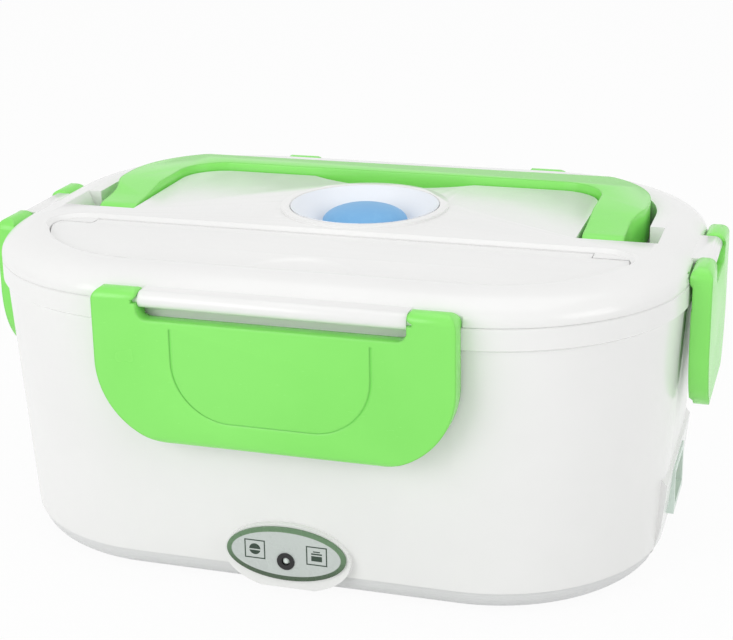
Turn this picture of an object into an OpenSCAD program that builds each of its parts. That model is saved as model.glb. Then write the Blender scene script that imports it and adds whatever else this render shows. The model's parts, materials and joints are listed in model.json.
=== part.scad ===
// Electric lunch box: a tapered white tub with a heating plate under it, a lift-off
// lid held by four latches, a fold-flat carrying handle, a spoon compartment and a
// steam vent. Millimetres, +Z up, front towards -Y, origin under the middle.
//
// Most shells follow one rounded rectangle, the edge of the lid. A place on a
// section is [u, z]: u is the distance outward from that edge, z the height.

/* [Outline] */
// Length of the lid, left to right
lid_length = 222; // [212:2:244]
// Width of the lid, front to back
lid_width = 160; // [154:2:172]
// Radius of the lid's corners
corner_radius = 60; // [58:1:62]

/* [Heights] */
// How far the rubber feet stand below the bottom cover
foot_proud = 1; // [0.5:0.5:3]
// Height of the seam between bottom cover and body
cover_seam = 8; // [7:0.5:10]
// Height of the floor that the food container stands over
tub_floor_top = 30; // [29:0.5:33]
// Height of the seam between body and lid
rim_height = 92.4; // [86:0.2:110]
// Height of the collar round the body's rim
collar_height = 6.4; // [5:0.2:8]
// Rise of the lid from its seam to its flat top
lid_rise = 8; // [6:0.2:9.4]

/* [Walls] */
// Wall of the body
body_wall = 2.4; // [1.8:0.2:3]
// Wall of the lid's top and side
lid_wall = 2.2; // [1.8:0.2:2.6]
// Wall of the lid's recesses
recess_wall = 1.8; // [1.4:0.2:2.2]
// Wall of the tub inside the body
tub_wall = 2; // [1.6:0.2:2.4]
// Wall of the food container and of the side dish
container_wall = 1.8; // [1.4:0.2:2.4]
// Step of the body's wall below the collar
collar_step = 1.2; // [0.6:0.2:2]
// How much the body draws in on each side, collar to seam
body_taper = 4.8; // [2:0.1:6]
// Width of the lid's rounded shoulder
shoulder_width = 13; // [11:0.5:15]

/* [Handle] */
// Distance from the lid's edge to the recess that the handle folds into
recess_inset = 16.5; // [15.5:0.5:19]
// Width of each handle leg at its pivot
leg_width = 13; // [10:0.5:13.5]
// Width of the grip, front to back
grip_width = 15.8; // [12:0.2:16.4]
// Thickness of the grip
grip_thick = 11; // [8:0.5:12]
// How far the folded grip stands above the lid's top
grip_proud = 2.8; // [1:0.2:4]
// Radius of the rounded eye at each leg's pivot
eye_radius = 6; // [5:0.25:6]
// Radius of the handle's pins
handle_pin_radius = 2; // [1.5:0.1:2.5]
// Distance from the recess's front wall to the handle's axis
pivot_setback = 7.2; // [7:0.1:8]

/* [Spoon compartment] */
// Distance from the lid's edge to the spoon cover's round edge
cover_inset = 15.4; // [14.6:0.2:17]
// Where the spoon cover's straight back edge lies
cover_back = -22.3; // [-23:0.1:-21.5]
// Radius of the spoon cover's back corners
cover_corner = 9; // [6:0.5:11]
// How far the cover lies below the lid's top
cover_drop = 1.2; // [0.4:0.2:1.6]
// Thickness of the spoon cover
cover_thick = 1.8; // [1.4:0.2:2.2]
// Depth of the compartment below the lid's top
compartment_depth = 12.4; // [11.5:0.2:13]
// Radius of the thumb scoop
scoop_radius = 17.6; // [12:0.2:20]
// Length of the spoon
spoon_length = 146; // [110:2:148]
// Radius of the spoon's bowl
spoon_bowl_radius = 12.5; // [9:0.5:12.5]

/* [Steam vent] */
// Where the vent's middle lies
vent_y = 8.8; // [8:0.2:9.6]
// Outer radius of the raised ring
vent_ring_radius = 27.9; // [24:0.3:28.2]
// Radius of the ring's inner edge
vent_bowl_radius = 24.4; // [20:0.2:25]
// Radius of the silicone dome
dome_radius = 14.2; // [10:0.2:15]
// Radius of the dome's stem
stem_radius = 3.8; // [2.5:0.1:5]

/* [Latches] */
// Half width of the front and back latches
long_latch_half = 54.5; // [46:0.5:56]
// Half width of the left and right latches
short_latch_half = 27; // [26:0.5:30]
// Width of each ear of a latch
ear_width = 14; // [10:0.5:15]
// How far a latch stands out from the lid's edge
latch_reach = 6.4; // [6:0.2:7.4]
// How far the front and back latches hang below the seam
long_latch_drop = 42; // [36:0.5:46]
// How far the left and right latches hang below the seam
short_latch_drop = 37.5; // [32:0.5:42]
// Radius of the hinge pins on the lid
latch_pin_radius = 1.8; // [1.4:0.1:2]
// Thickness of a latch's front
latch_front_thick = 2.3; // [1.8:0.1:2.8]

/* [Fittings] */
// Half length of the oval indicator plate
plate_half_length = 18.9; // [16:0.1:22]
// Half height of the oval indicator plate
plate_half_height = 8.7; // [8:0.1:9.2]
// Height of the indicator plate's middle
plate_z = 15; // [14.5:0.1:17]
// Half length of the heating plate under the tub's floor
heater_half_length = 54; // [46:1:58]
// Half width of the heating plate under the tub's floor
heater_half_width = 34; // [30:1:36]
// Half width of the inlet's boss
boss_half = 31; // [26:0.5:33]
// Width of the inlet's socket
socket_width = 24; // [22:0.5:28]
// Height of the inlet's socket
socket_height = 15.5; // [14:0.5:16]
// Radius of the rubber feet
foot_radius = 6; // [4:0.5:7]
// Radius of the screws' shanks
screw_radius = 1.4; // [1.2:0.1:1.6]
// Share of the container's length taken by the side dish
dish_share = 0.34; // [0.28:0.01:0.4]

/* [Hidden] */
$fn = 96;

// clearances
gap = 0.3;              // between pieces that move past each other
seam_gap = 0.2;         // lid to body, and seals to what they will press on
seat = 0.05;            // running fit of a pin in its bore, measured on the radius
eps = 0.01;             // overshoot of a cut past a face

// the driving outline
half_l = lid_length / 2;
half_w = lid_width / 2;
centre_x = half_l - corner_radius;
centre_y = half_w - corner_radius;
axis_u = -corner_radius;

// heights
top_z = rim_height + lid_rise;
lid_edge_z = rim_height + seam_gap;
collar_z = rim_height - collar_height;
floor_under = tub_floor_top - tub_wall;
cover_under = foot_proud;
cover_floor_top = cover_under + 2.2;

// the lid's recesses
handle_reach = half_l - recess_inset - 2.7;
leg_front_outer = handle_reach - 3.5;
grip_back = half_w - recess_inset - 2.5;
handle_corner = corner_radius - recess_inset - 7.5;
panel_half = leg_front_outer - leg_width - 1.2;
recess_front = -12;
recess_floor = top_z - 12.6;
recess_side = half_l - recess_inset;
panel_back = grip_back - grip_width - 1.2;
panel_corner = 14.5;
liner_top = recess_floor - recess_wall;
liner_under = liner_top - 1.8;
liner_rim_u = -8.8;
pivot_y = recess_front + pivot_setback;
pivot_z = top_z - eye_radius;
notch_half = 29;
notch_depth = 9.6;

// the spoon compartment
cover_top = top_z - cover_drop;
cover_under_z = cover_top - cover_thick;
compartment_floor = top_z - compartment_depth;
barrel_radius = 1.7;
barrel_y = cover_back - barrel_radius - 0.2;
barrel_z = cover_top - barrel_radius + 0.1;
cover_corner_y = cover_back - cover_corner;
cover_corner_x = round(100 * (centre_x
    + sqrt(pow(corner_radius - cover_inset - cover_corner, 2)
        - pow(cover_corner_y + centre_y, 2)))) / 100;
barrel_half = cover_corner_x - 3.2;
barrel_pin = 1;
barrel_pin_length = 2.5;
scoop_y = -half_w + cover_inset;
scoop_depth = cover_thick - 0.7;
ledge = 2.4;
lug_front = cover_back - ledge - 2.4;

// the latches
pin_u = latch_reach - 3.4;
pin_z = rim_height + 1.9;
ear_round = latch_reach - pin_u;
bar_radius = 2.5;
notch_z = pin_z - 5.4;
pin_length = 7;
catch_z = collar_z - 0.5;
catch_reach = 1;
catch_height = 3.2;
hook_top = catch_z - 0.5;
hook_thick = 1.6;
latch_shelf = 2.2;
ear_corner = 4;
panel_groove = 0.3;

// the body
inner_u = wall_u(floor_under) - body_wall;
tub_low_u = inner_u - 1.6;
tub_lip_u = -4.6;
lip_top = lid_edge_z + lid_wall - 1.4;
flange_top = collar_z + 4.7;
flange_under = flange_top - 2;
container_rim_z = liner_under - 0.8;
container_floor = tub_floor_top + 0.25;
container_top_u = -9.6;
container_low_u = wall_u(container_floor) - 7.9;
container_flange = 2.2;
dish_x = half_l + container_top_u
    - dish_share * 2 * (half_l + container_top_u);

// the fittings
boss_face = half_l - 3.8;
boss_top = 33;
boss_inner = half_l - 15;
socket_z = cover_seam + 11;
socket_depth = 14;
socket_back = boss_face - body_wall - seat - socket_depth;
clamp_x = heater_half_length + 6;
plate_face = -(half_w - 3.2);
led_z = plate_z - 2.3;
plate_thick = 0.8;
post_x = 66;
post_y = 46;
post_radius = 3.6;
foot_x = 74;
foot_y = 36;
wire_radius = 1;

// u of the body's outer wall at height z, below the collar
function wall_u(z) = -collar_step
    - body_taper * (collar_z - z) / (collar_z - cover_seam);

// points on an elliptical arc
function arc(cu, cz, ru, rz, from, to, steps = 8) =
    [for (i = [0 : steps]) let (t = from + (to - from) * i / steps)
        [cu + ru * cos(t), cz + rz * sin(t)]];

// ---- shapes that follow the lid's outline ----

// the rounded rectangle, moved outward by u
module outline(u) {
    r = corner_radius + u;
    square([2 * centre_x, 2 * (half_w + u)], center = true);
    square([2 * (half_l + u), 2 * centre_y], center = true);
    for (sx = [-1, 1], sy = [-1, 1])
        translate([sx * centre_x, sy * centre_y]) circle(r);
}

// a straight-walled block on that outline
module slab(u, z0, z1) {
    translate([0, 0, z0]) linear_extrude(z1 - z0) outline(u);
}

// a closed section carried all the way round the outline
module around(section) {
    turned = [for (p = section) [corner_radius + p[0], p[1]]];
    for (k = [0 : 3])
        translate([(k == 0 || k == 3) ? centre_x : -centre_x,
                (k < 2) ? centre_y : -centre_y, 0])
            rotate(90 * k) rotate_extrude(angle = 90) polygon(turned);
    for (side = [0, 180]) rotate(side) {
        translate([centre_x, 0, 0]) rotate([90, 0, 0])
            linear_extrude(2 * centre_y, center = true) polygon(turned);
        translate([0, centre_y, 0]) rotate([90, 0, 90])
            linear_extrude(2 * centre_x, center = true) polygon(turned);
    }
}

// the middle of a floor whose section ends on the corners' axes
module core(z0, z1) {
    translate([-centre_x, -centre_y, z0])
        cube([2 * centre_x, 2 * centre_y, z1 - z0]);
}

// a solid block with that outer section, from height z0 to z1
module filled(edge, z0, z1) {
    around(concat([[axis_u, z0]], edge, [[axis_u, z1]]));
    core(z0, z1);
}

// a plain rounded rectangle of its own size
module rounded(hx, hy, r, h) {
    linear_extrude(h) union() {
        square([2 * (hx - r), 2 * hy], center = true);
        square([2 * hx, 2 * (hy - r)], center = true);
        for (sx = [-1, 1], sy = [-1, 1])
            translate([sx * (hx - r), sy * (hy - r)]) circle(r, $fn = 48);
    }
}

module oval(hx, hy) {
    polygon([for (i = [0 : 63]) let (t = 360 * i / 64) [hx * cos(t), hy * sin(t)]]);
}

// things that stand at four places
module at_four(x, y) {
    for (sx = [-1, 1], sy = [-1, 1]) translate([sx * x, sy * y, 0]) children();
}

// a screw with a round head, its tip up, the head's top face at z = 0
module screw(length) {
    difference() {
        cylinder(r = 2 * screw_radius, h = 1.8);
        translate([0, 0, -eps]) cylinder(r = 1.2, h = 0.9, $fn = 6);
    }
    translate([0, 0, 1.8 - eps]) cylinder(r = screw_radius, h = length - 1.8);
}

// ---- the four sides that a latch hangs on ----

// puts a child, drawn for the front at y = 0 = the lid's edge, on a side
module on_front() { translate([0, -half_w, 0]) children(); }
module on_back() { rotate(180) on_front() children(); }
module on_right() { rotate(90) translate([0, -half_l, 0]) children(); }
module on_left() { rotate(180) on_right() children(); }

module on_long_sides() { on_front() children(); on_back() children(); }
module on_short_sides() { on_left() children(); on_right() children(); }

// ---- the handle and its recess, from above ----

// the flat panel between the handle's legs, grown by g
module panel_shape(g) {
    difference() {
        intersection() {
            union() {
                hx = panel_half + g;
                r = panel_corner + g;
                back = panel_back + g;
                translate([-hx, -half_w]) square([2 * hx, half_w + back - r]);
                translate([-(hx - r), -half_w]) square([2 * (hx - r), half_w + back]);
                for (s = [-1, 1]) translate([s * (hx - r), back - r]) circle(r);
            }
            outline(0);
        }
        notch_circle(-g);
    }
    translate([0, vent_y]) circle(vent_ring_radius + g);
}

// the finger notch in the panel's back edge
module notch_circle(g) {
    r = (pow(notch_half, 2) + pow(notch_depth, 2)) / (2 * notch_depth);
    translate([0, panel_back + r - notch_depth]) circle(r + g);
}

// the recess the handle folds into, grown by g
module recess_shape(g) {
    difference() {
        intersection() {
            outline(g - recess_inset);
            translate([-half_l, recess_front - g]) square([lid_length, half_w - recess_front + g]);
        }
        panel_shape(-g);
    }
}

// the spoon cover from above, grown by g: the lid's outline in front, a straight
// back edge, and between them round corners that run smoothly into the outline
module cover_shape(g, back = cover_back) {
    r = cover_corner + g;
    turn = atan2(cover_corner_y + centre_y, cover_corner_x - centre_x);
    // the last point lies just outside, so that the outline cuts the arc cleanly
    corner = [for (i = [0 : 14]) let (t = 90 + (turn - 90) * i / 14, rt = r + (i < 14 ? 0 : 0.05))
        [cover_corner_x + rt * cos(t), cover_corner_y + rt * sin(t)]];
    far = [cover_corner_x + 30 * cos(turn), cover_corner_y + 30 * sin(turn)];
    half = concat(corner, [far, [far[0], -half_w]]);
    intersection() {
        outline(g - cover_inset);
        polygon(concat(half, [for (i = [len(half) - 1 : -1 : 0]) [-half[i][0], half[i][1]]]));
        translate([-half_l, -half_w]) square([lid_length, half_w + back + g]);
    }
}

// the places beside the hinge barrel, where the lid carries its pins
module lug_shape(side = 0, front = 0) {
    for (s = [-1, 1]) translate([s * (barrel_half + gap - side + 20) - 20, lug_front - front])
        square([40, 20]);
}

// ---- the lid ----

shoulder = arc(-shoulder_width, lid_edge_z + 0.8, shoulder_width,
    top_z - lid_edge_z - 0.8, 0, 90, 12);
under_shoulder = arc(-shoulder_width, lid_edge_z + 0.8, shoulder_width - lid_wall,
    top_z - lid_edge_z - 0.8 - lid_wall, 0, 90, 8);

module hinge_bar(half) {
    // half-round nose, shelf back into the lid's top, and a pin at each end
    rotate([90, 0, 90]) linear_extrude(2 * half, center = true) union() {
        translate([-pin_u, pin_z]) circle(bar_radius, $fn = 64);
        translate([-pin_u, lid_edge_z])
            square([pin_u + shoulder_width, pin_z + bar_radius - lid_edge_z]);
    }
    for (s = [-1, 1]) translate([s * (half - eps), -pin_u, pin_z]) rotate([0, s * 90, 0])
        cylinder(r = latch_pin_radius, h = pin_length, $fn = 48);
}

module ear_pockets(half) {
    notch = half - ear_width;
    for (s = [-1, 1]) translate([s * (half + notch) / 2, 0, 0])
        translate([-(ear_width + 0.6) / 2, -20, lid_edge_z - 2])
            cube([ear_width + 0.6, 20 + ear_round - pin_u + 0.4, top_z]);
}

module lid() {
    color("white") difference() {
        union() {
            difference() {
                union() {
                    filled(concat([[0, lid_edge_z]], shoulder), lid_edge_z, top_z);
                    translate([0, 0, top_z - eps]) linear_extrude(0.8 + eps)
                        translate([0, vent_y]) circle(vent_ring_radius);
                }
                filled(concat([[-lid_wall, lid_edge_z - 1]], under_shoulder),
                    lid_edge_z - 1, top_z - lid_wall);
            }
            // walls of the recesses, hanging from the top
            translate([0, 0, recess_floor - recess_wall])
                linear_extrude(top_z - recess_floor) recess_shape(recess_wall);
            translate([0, 0, compartment_floor - recess_wall])
                linear_extrude(compartment_depth) cover_shape(recess_wall);
            translate([0, vent_y, recess_floor - recess_wall])
                cylinder(r1 = 18, r2 = vent_ring_radius - 0.6,
                    h = top_z - 0.6 - recess_floor + recess_wall);
            beside_legs(recess_front - 1.5, 21.2) polygon([
                [recess_side - 2, recess_floor - recess_wall],
                [recess_side + recess_wall, recess_floor - recess_wall],
                [recess_side + recess_wall, recess_floor + 1],
                [half_l + liner_rim_u - 1.8 - gap, top_z - 1], [recess_side - 2, top_z - 1]]);
            // bosses that carry the handle's pins
            for (s = [-1, 1]) translate([s * panel_half, pivot_y, pivot_z])
                rotate([0, -s * 90, 0]) cylinder(r = 4.5, h = 7, $fn = 48);
        }
        handle_recess();
        spoon_recess();
        vent_hole();
        on_long_sides() ear_pockets(long_latch_half);
        on_short_sides() ear_pockets(short_latch_half);
    }
    color("white") {
        on_long_sides() lid_bar(long_latch_half);
        on_short_sides() lid_bar(short_latch_half);
    }
}

// the bar meets the lid's side and top, and is cut clear of the inside
module lid_bar(half) {
    difference() {
        hinge_bar(half - ear_width - gap);
        translate([-half, lid_wall, lid_edge_z - 10])
            cube([2 * half, 40, top_z - lid_wall - lid_edge_z + 10 - 1.2]);
        translate([-half, shoulder_width - 2, lid_edge_z - 10]) cube([2 * half, 40, 40]);
    }
}

// a block beside the end of each leg, drawn from the front
module beside_legs(from, length) {
    for (s = [0, 1]) mirror([s, 0, 0]) translate([0, from + length, 0])
        rotate([90, 0, 0]) linear_extrude(length) children();
}

module handle_recess() {
    translate([0, 0, recess_floor]) linear_extrude(30) recess_shape(0);
    // sloping scoops beside the legs' ends
    beside_legs(recess_front, 18) polygon([
        [recess_side - 4, recess_floor + 2], [recess_side, recess_floor + 2],
        [recess_side + 5.2, top_z + 1], [recess_side - 4, top_z + 1]]);
    // bores of the handle's pins, beside each leg
    for (s = [-1, 1]) translate([s * (panel_half - 6), pivot_y, pivot_z])
        rotate([0, s * 90, 0]) cylinder(r = handle_pin_radius + seat, h = 8, $fn = 48);
}

module spoon_recess() {
    translate([0, 0, cover_under_z - gap]) linear_extrude(30) difference() {
        cover_shape(0);
        lug_shape();
    }
    translate([0, 0, cover_top - 0.05]) linear_extrude(30) cover_shape(0);
    translate([0, 0, compartment_floor]) linear_extrude(30)
        cover_shape(-ledge, lug_front + ledge);
    // slope from the lid's top down to the cover's back edge
    lead = [[0, cover_top], [cover_corner - 0.1, cover_top],
        [cover_corner + 1.5, top_z + 0.1], [0, top_z + 0.1]];
    for (s = [0, 1]) mirror([s, 0, 0]) translate([cover_corner_x, cover_corner_y, 0])
        for (quarter = [-90, 0]) rotate(quarter) rotate_extrude(angle = 90) polygon(lead);
    translate([0, cover_corner_y, 0]) rotate([90, 0, 90])
        linear_extrude(2 * cover_corner_x, center = true) polygon(lead);
    // groove of the cover's hinge barrel, and the sockets of its pins
    translate([-barrel_half - gap, cover_back - 2 * barrel_radius - 1.2,
            barrel_z - barrel_radius - gap])
        cube([2 * (barrel_half + gap), 2 * barrel_radius + 1.2, 10]);
    translate([0, barrel_y, barrel_z]) rotate([0, 90, 0])
        cylinder(r = barrel_pin + seat, h = 2 * (barrel_half + barrel_pin_length + gap),
            center = true, $fn = 48);
}

module vent_hole() {
    translate([0, vent_y, 0]) {
        low = recess_floor - recess_wall - 1;
        seat_z = top_z - 7.4;
        rotate_extrude() polygon([[0, low], [7.5, low], [7.5, seat_z], [16.05, seat_z],
            [19.45, top_z - 4.2], [vent_bowl_radius + 0.65, top_z + 0.7],
            [vent_bowl_radius + 0.65, top_z + 2], [0, top_z + 2]]);
    }
}

module lid_liner() {
    wall_out = liner_rim_u;
    color("whitesmoke") difference() {
        union() {
            filled([[wall_out - 1.2, liner_under], [wall_out, liner_under + 1.2],
                [wall_out, liner_top]], liner_under, liner_top);
            around([[wall_out, liner_top - eps], [wall_out - 1.8, liner_top - eps],
                [wall_out - 1.8, top_z - lid_wall - gap - 0.6],
                [wall_out, top_z - lid_wall - gap - 0.6]]);
        }
        // under the vent the steam passes through a ring of holes
        translate([0, vent_y, liner_under - 1]) {
            cylinder(r = stem_radius + gap, h = 5);
            for (k = [0 : 5]) rotate(60 * k) translate([10, 0, 0])
                cylinder(r = 2.2, h = 5, $fn = 32);
        }
    }
}

module lid_gasket() {
    low = lip_top + seam_gap;
    high = low + 1.3;
    color("gainsboro") around([[liner_rim_u, low], [-4.2, low], [-3.9, low + 0.4],
        [-4.4, high], [liner_rim_u, high]]);
}

module vent_bowl() {
    floor_z = top_z - 7.2;
    color("lightsteelblue") translate([0, vent_y, 0]) difference() {
        rotate_extrude() polygon([[stem_radius + gap, floor_z - 3.6], [7.3, floor_z - 3.6],
            [7.3, floor_z], [15.8, floor_z], [19.2, top_z - 4.2],
            [vent_bowl_radius + 0.4, top_z + 0.7], [vent_bowl_radius, top_z + 0.9],
            [vent_bowl_radius - 1.4, top_z - 0.2], [18.2, top_z - 3.6],
            [15.2, floor_z + 1.2], [stem_radius + gap, floor_z + 1.2]]);
    }
}

module vent_plug() {
    base = top_z - 7.2 + 1.2 + seam_gap;
    rise = top_z + 0.5 - base;
    color("cornflowerblue") translate([0, vent_y, 0]) {
        rotate_extrude() polygon(concat([[0, base], [dome_radius - 0.5, base],
            [dome_radius, base + 0.5]],
            arc(0, base + 0.8, dome_radius, rise - 0.8, 0, 90, 14)));
        translate([0, 0, liner_under - 1.2])
            cylinder(r = stem_radius, h = base - liner_under + 1.2 + eps, $fn = 48);
    }
}

module spoon_cover() {
    color("white") difference() {
        union() {
            difference() {
                translate([0, 0, cover_under_z]) linear_extrude(cover_thick)
                    cover_shape(-0.35, barrel_y + 0.35);
                // room for the lugs that carry the barrel's pins
                translate([0, 0, cover_under_z - 4]) linear_extrude(12) lug_shape(gap, 0.8);
            }
            translate([0, barrel_y, barrel_z]) rotate([0, 90, 0]) {
                cylinder(r = barrel_radius, h = 2 * barrel_half, center = true, $fn = 48);
                cylinder(r = barrel_pin, h = 2 * (barrel_half + barrel_pin_length),
                    center = true, $fn = 48);
            }
        }
        // thumb scoop, a saucer let into the cover's round edge
        translate([0, scoop_y, cover_top - scoop_depth])
            cylinder(r1 = scoop_radius - 2.6, r2 = scoop_radius, h = scoop_depth + eps);
    }
}

module spoon() {
    bowl_x = -spoon_length / 2 + spoon_bowl_radius;
    spoon_y = (lug_front - half_w + cover_inset + ledge) / 2;
    low = compartment_floor + gap;
    depth = 5.2;
    sphere_r = (pow(spoon_bowl_radius, 2) + pow(depth, 2)) / (2 * depth);
    color("whitesmoke") translate([0, spoon_y, low]) {
        difference() {
            translate([bowl_x, 0, sphere_r]) sphere(sphere_r);
            translate([bowl_x, 0, sphere_r]) sphere(sphere_r - 1.4);
            translate([bowl_x - 50, -50, depth]) cube([100, 100, 2 * sphere_r]);
        }
        // the stem leaves the rim and runs out level
        rotate([90, 0, 0]) linear_extrude(7, center = true) polygon([
            [bowl_x + spoon_bowl_radius - 1.3, depth - 1.8],
            [bowl_x + spoon_bowl_radius + 12, depth - 3.2],
            [spoon_length / 2 - 6, depth - 3.2], [spoon_length / 2 - 6, depth - 1],
            [bowl_x + spoon_bowl_radius + 12, depth - 1],
            [bowl_x + spoon_bowl_radius - 1.3, depth]]);
        translate([spoon_length / 2 - 8, 0, depth - 3.2]) cylinder(r = 7.5, h = 2.2);
    }
}

// ---- the handle ----

// the handle from above: outer edge with an S step, inner edge with round corners
module handle_shape() {
    back = grip_back;
    r = handle_corner;
    inner = panel_half + 1.2;
    inner_r = panel_corner + 1.2;
    inner_back = back - grip_width;
    step_from = pivot_y + 8;
    step_to = pivot_y + 24;
    step = handle_reach - leg_front_outer;
    steps = 8;
    s_curve = [for (i = [0 : steps]) let (t = i / steps)
        [leg_front_outer + step * (1 - cos(180 * t)) / 2,
            step_from + (step_to - step_from) * t]];
    side = concat([[leg_front_outer, pivot_y - eye_radius]], s_curve,
        [[handle_reach, back - r + 1]]);
    difference() {
        union() {
            polygon(concat([for (p = side) p],
                [for (i = [len(side) - 1 : -1 : 0]) [-side[i][0], side[i][1]]]));
            translate([-(handle_reach - r), 0]) square([2 * (handle_reach - r), back]);
            for (m = [-1, 1]) translate([m * (handle_reach - r), back - r]) circle(r);
        }
        translate([-inner, pivot_y - 20]) square([2 * inner, inner_back - inner_r - pivot_y + 20]);
        translate([-(inner - inner_r), pivot_y - 20])
            square([2 * (inner - inner_r), inner_back - pivot_y + 20]);
        for (m = [-1, 1]) translate([m * (inner - inner_r), inner_back - inner_r])
            circle(inner_r);
    }
}

// the handle from the side: a round eye, then a leg that rises to the grip
module handle_side() {
    top = top_z + grip_proud;
    union() {
        translate([pivot_y, pivot_z]) circle(eye_radius, $fn = 64);
        polygon(concat([[pivot_y, pivot_z - eye_radius], [pivot_y + 10, pivot_z - eye_radius + 0.4],
            [grip_back - grip_width - 4, top - grip_thick],
            [grip_back - 3, top - grip_thick], [grip_back, top - grip_thick + 3]],
            arc(grip_back - 6, top - 5, 6, 5, 0, 90, 8),
            [[grip_back - grip_width + 4, top], [pivot_y + 18, top],
            [pivot_y + 6, top_z + 0.6], [pivot_y, pivot_z + eye_radius]]));
    }
}

module carry_handle() {
    color("lightgreen") difference() {
        intersection() {
            translate([0, 0, recess_floor]) linear_extrude(30) handle_shape();
            rotate([90, 0, 90]) linear_extrude(2 * half_l, center = true) handle_side();
        }
        for (s = [-1, 1]) translate([s * (panel_half - 5), pivot_y, pivot_z])
            rotate([0, s * 90, 0]) cylinder(r = handle_pin_radius, h = 40, $fn = 48);
    }
}

module handle_pins() {
    reach = leg_front_outer - panel_half + 4.5;
    color("silver") for (s = [-1, 1])
        translate([s * (panel_half - 5.5), pivot_y, pivot_z]) rotate([0, s * 90, 0])
            cylinder(r = handle_pin_radius, h = reach, $fn = 48);
}

// ---- the latches ----

// the latch's face: ears up, D-shaped below, drawn with y as height
module latch_shape(half, bottom, low_r) {
    notch = half - ear_width;
    top = pin_z + ear_round;
    intersection() {
        translate([-half, bottom]) square([2 * half, low_r + 2]);
        for (s = [-1, 1]) translate([s * (half - low_r), bottom + low_r]) circle(low_r);
    }
    for (s = [-1, 1]) {
        // each ear ends in round corners
        for (x = [half - ear_corner, notch + 1.5])
            translate([s * x, top - (x > notch + 2 ? ear_corner : 1.5)])
                circle(x > notch + 2 ? ear_corner : 1.5, $fn = 48);
        translate([s * (half + notch) / 2 - ear_width / 2, bottom + low_r])
            square([ear_width, top - ear_corner - bottom - low_r]);
        translate([s > 0 ? notch + 1.5 : -(half - ear_corner), notch_z])
            square([ear_width - ear_corner - 1.5, top - notch_z]);
        // a fillet where the ear meets the notch
        difference() {
            translate([s > 0 ? notch - 3 : -notch - eps, notch_z - eps]) square([3 + eps, 3]);
            translate([s * (notch - 3), notch_z + 3]) circle(3, $fn = 48);
        }
    }
    translate([-half, bottom + low_r]) square([2 * half, notch_z - bottom - low_r]);
    translate([-(half - low_r), bottom]) square([2 * (half - low_r), low_r + 1]);
}

// a D with round lower corners: the hollow behind the face, or the line drawn on it
module latch_inside(side, low, low_r, top) {
    translate([-side, low + low_r]) square([2 * side, top - low - low_r]);
    translate([-(side - low_r), low]) square([2 * (side - low_r), low_r + 1]);
    intersection() {
        translate([-side, low]) square([2 * side, low_r + 0.5]);
        for (s = [-1, 1]) translate([s * (side - low_r), low + low_r]) circle(low_r);
    }
}

// the latch from its end: u runs to -y, so the face is on the left
module latch_side(bottom) {
    ear_back = ear_round - pin_u;
    union() {
        translate([-pin_u, pin_z]) circle(ear_round, $fn = 64);
        polygon(concat([[-latch_reach, pin_z]],
            arc(2.6 - latch_reach, bottom + 2.6, 2.6, 2.6 + eps, 180, 270, 6),
            [[-1.4, bottom - eps], [-1.4, bottom + 3], [-0.4, bottom + 4],
            [-0.4, hook_top - 0.5], [-0.6, hook_top - 0.5],
            [-0.6, rim_height - 0.2], [ear_back, rim_height + 1.2], [ear_back, pin_z]]));
    }
}

module latch(half, drop, low_r) {
    bottom = rim_height - drop;
    notch = half - ear_width;
    hook_half = notch - 6;
    hook_low = hook_top - hook_thick;
    color("lightgreen") difference() {
        union() {
            difference() {
                intersection() {
                    rotate([90, 0, 0]) linear_extrude(30, center = true)
                        latch_shape(half, bottom, low_r);
                    rotate([90, 0, 90]) linear_extrude(2 * half, center = true)
                        latch_side(bottom);
                }
                // the hollow behind the face
                translate([0, 20 - latch_reach + latch_front_thick, 0]) rotate([90, 0, 0])
                    linear_extrude(20) latch_inside(half - 2.4, bottom + 2.4, low_r - 2.4,
                        notch_z - latch_shelf);
                // room for the body's catch rib under the shelf's edge
                translate([-notch, -catch_reach - 0.6, hook_top])
                    cube([2 * notch, 20, notch_z + 1 - hook_top]);
                // the line of the inset panel on the face of the long latches
                if (half > 40) translate([0, panel_groove - latch_reach, 0])
                    rotate([90, 0, 0]) linear_extrude(2) difference() {
                        latch_inside(half - 24, bottom + 8.6, 18, notch_z - 2.2);
                        latch_inside(half - 24.7, bottom + 8.9, 17.3, notch_z - 2.2 + eps);
                    }
            }
            // the hook under the body's catch, and the ribs that stiffen the face
            rotate([90, 0, 90]) linear_extrude(2 * hook_half, center = true) polygon([
                [1 - latch_reach, hook_low - 3], [3.4 - latch_reach, hook_low - 0.6],
                [0.7, hook_low], [0.7, hook_top], [1 - latch_reach, hook_top]]);
            for (i = [-2 : 2]) translate([i * hook_half / 2.5 - 0.6, 1 - latch_reach,
                    bottom + 1]) cube([1.2, 3, hook_low - 1.2 - bottom]);
        }
        for (s = [-1, 1]) translate([s * (notch - 1), -pin_u, pin_z]) rotate([0, s * 90, 0])
            cylinder(r = latch_pin_radius + seat, h = pin_length + 1.5, $fn = 48);
    }
}

module latch_front() { on_front() latch(long_latch_half, long_latch_drop, 25); }
module latch_back() { on_back() latch(long_latch_half, long_latch_drop, 25); }
module latch_left() { on_left() latch(short_latch_half, short_latch_drop, 18); }
module latch_right() { on_right() latch(short_latch_half, short_latch_drop, 18); }

// ---- the body ----

// the flat pad that stands out where the body's bottom curves in, grown by g
module inlet_boss(g, inner, low) {
    face = boss_face + g;
    translate([0, boss_half + g, 0]) rotate([90, 0, 0]) linear_extrude(2 * (boss_half + g))
        polygon([[inner, low], [face - 8.2, low], [face - 3.6, 7], [face - 1.4, 15],
            [face, boss_top - 4], [face - 3, boss_top + g], [inner, boss_top + g]]);
}

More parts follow.
